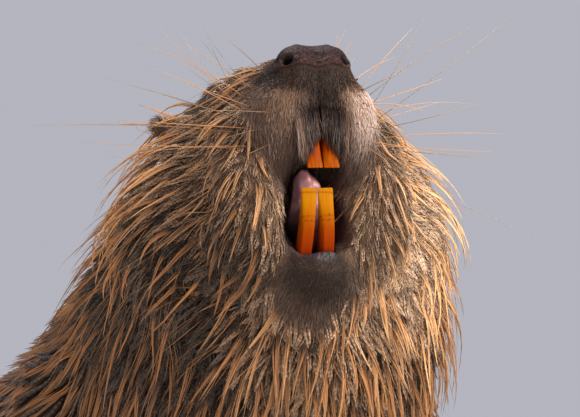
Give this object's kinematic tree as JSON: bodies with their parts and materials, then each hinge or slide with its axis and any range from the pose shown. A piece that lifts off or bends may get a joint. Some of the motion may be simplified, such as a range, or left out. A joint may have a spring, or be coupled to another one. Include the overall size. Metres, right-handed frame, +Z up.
{
  "type": "beaver",
  "caption": "Life-size still beaver sitting on its haunches, head raised and mouth open over orange incisors, flat tail behind.",
  "frame": {"origin": "on the floor, under the centre of the whole animal's box", "axes": "+Z up, the animal faces -Y with its tail along +Y, its left side is +X"},
  "size_m": [0.2946, 0.882, 0.3944],
  "materials": {
    "coat": "long wet guard hair in pointed bunches over crimped underfur",
    "face_fur": "short flat fur, silver-tipped at the lips",
    "nose_leather": "dark pebbled bare skin, damp",
    "foot_skin": "dark scaly bare skin with webs",
    "tail_scales": "dark skin patterned in scales",
    "eye": "wet, glossy",
    "enamel": "orange enamel, wet",
    "tongue": "moist pink flesh",
    "claw": "dark horn"
  },
  "bodies": {
    "root": {"ear_left": "coat", "ear_right": "coat", "eye_left": "eye", "eye_right": "eye", "foreclaw_left_1": "claw", "foreclaw_left_2": "claw", "foreclaw_left_3": "claw", "foreclaw_left_4": "claw", "foreclaw_left_5": "claw", "foreclaw_right_1": "claw", "foreclaw_right_2": "claw", "foreclaw_right_3": "claw", "foreclaw_right_4": "claw", "foreclaw_right_5": "claw", "forefoot_left": "foot_skin", "forefoot_right": "foot_skin", "foreleg_left": "coat", "foreleg_right": "coat", "head": "coat", "hindclaw_left_1": "claw", "hindclaw_left_2": "claw", "hindclaw_left_3": "claw", "hindclaw_left_4": "claw", "hindclaw_left_5": "claw", "hindclaw_right_1": "claw", "hindclaw_right_2": "claw", "hindclaw_right_3": "claw", "hindclaw_right_4": "claw", "hindclaw_right_5": "claw", "hindfoot_left": "foot_skin", "hindfoot_right": "foot_skin", "hindleg_left": "coat", "hindleg_right": "coat", "lower_incisor_left": "enamel", "lower_incisor_right": "enamel", "lower_jaw": "face_fur", "muzzle": "face_fur", "neck": "coat", "nose_pad": "nose_leather", "tail": "tail_scales", "tail_root": "coat", "throat": "coat", "tongue": "tongue", "trunk": "coat", "upper_incisor_left": "enamel", "upper_incisor_right": "enamel"}
  },
  "joints": []
}
